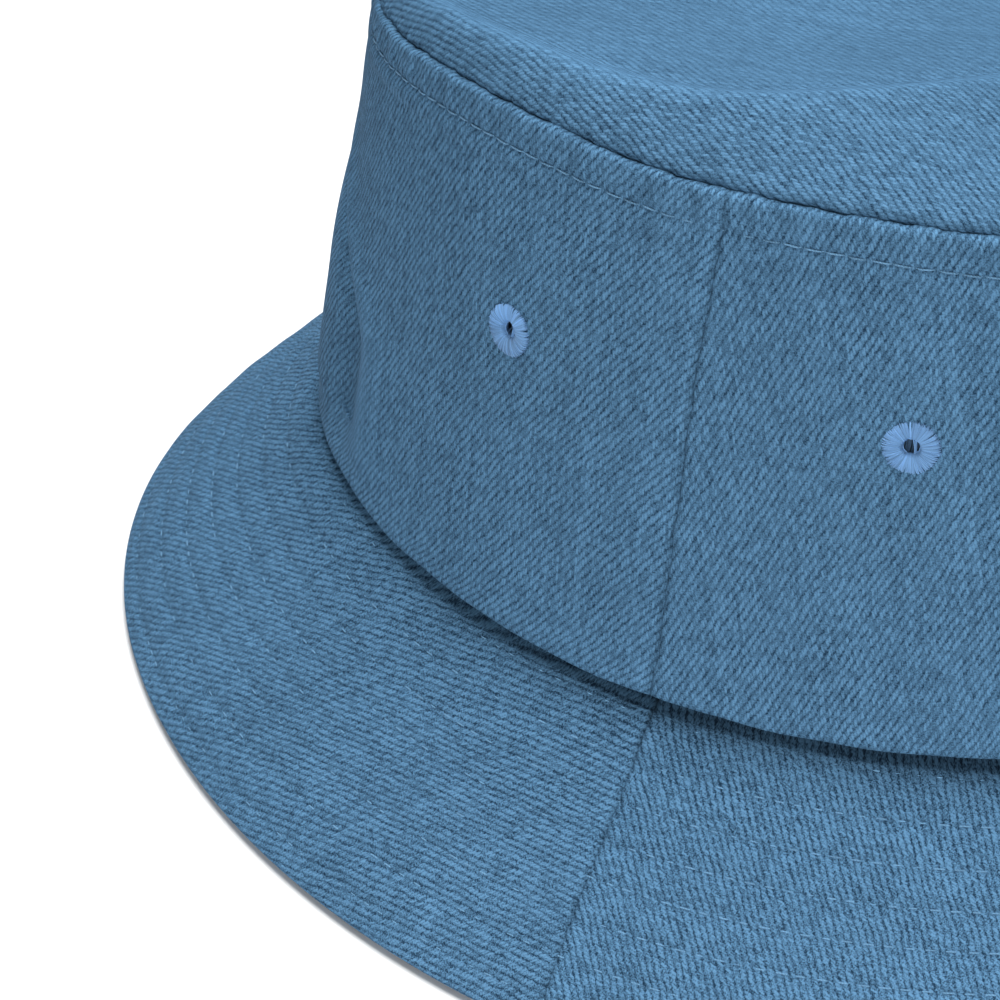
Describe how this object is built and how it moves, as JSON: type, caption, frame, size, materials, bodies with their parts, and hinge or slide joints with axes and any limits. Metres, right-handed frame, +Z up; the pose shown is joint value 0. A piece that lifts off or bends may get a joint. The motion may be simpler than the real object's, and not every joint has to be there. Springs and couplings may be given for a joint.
{
  "type": "bucket hat",
  "caption": "Denim bucket hat with an oval dished tip, leaning side wall, embroidered vent eyelets and a sloping brim stitched in concentric rows.",
  "frame": {"origin": "centre of the plane that the brim's edge rests on", "axes": "+Z up through the crown, wearer faces -Y, wearer's left is +X"},
  "size_m": [0.2452, 0.2712, 0.132],
  "materials": {
    "denim": "washed light-blue denim, right-hand twill",
    "denim_wall": "washed light-blue denim, right-hand twill",
    "denim_brim": "washed light-blue denim, quilted by rows of stitching",
    "interlining": "non-woven stiffener",
    "sweatband": "fine cotton twill",
    "seam_tape": "plain-woven cotton tape",
    "eyelet_thread": "satin-stitch embroidery thread",
    "sewing_thread": "light-blue cotton sewing thread",
    "label": "blank woven label"
  },
  "bodies": {
    "hat": {"crown_tip": "denim", "crown_front_panel": "denim_wall", "crown_back_panel": "denim_wall", "brim_top_front": "denim_brim", "brim_top_back": "denim_brim", "brim_under_front": "denim_brim", "brim_under_back": "denim_brim", "brim_interlining_front": "interlining", "brim_interlining_back": "interlining", "sweatband": "sweatband", "tip_seam_tape": "seam_tape", "left_seam_tape": "seam_tape", "right_seam_tape": "seam_tape", "eyelet_front_left": "eyelet_thread", "eyelet_front_right": "eyelet_thread", "eyelet_back_left": "eyelet_thread", "eyelet_back_right": "eyelet_thread", "tip_topstitch": "sewing_thread", "brim_needle_thread": "sewing_thread", "brim_bobbin_thread": "sewing_thread", "sweatband_stitching": "sewing_thread", "seam_tape_stitching": "sewing_thread", "care_label_tack": "sewing_thread"},
    "label": {"care_label": "label"}
  },
  "joints": [
    {"name": "label_flap", "type": "hinge", "parent": "hat", "child": "label", "pos_m": [0, 0.09076, 0.067], "axis": [-1, 0, 0], "range_deg": [0, 165]}
  ]
}
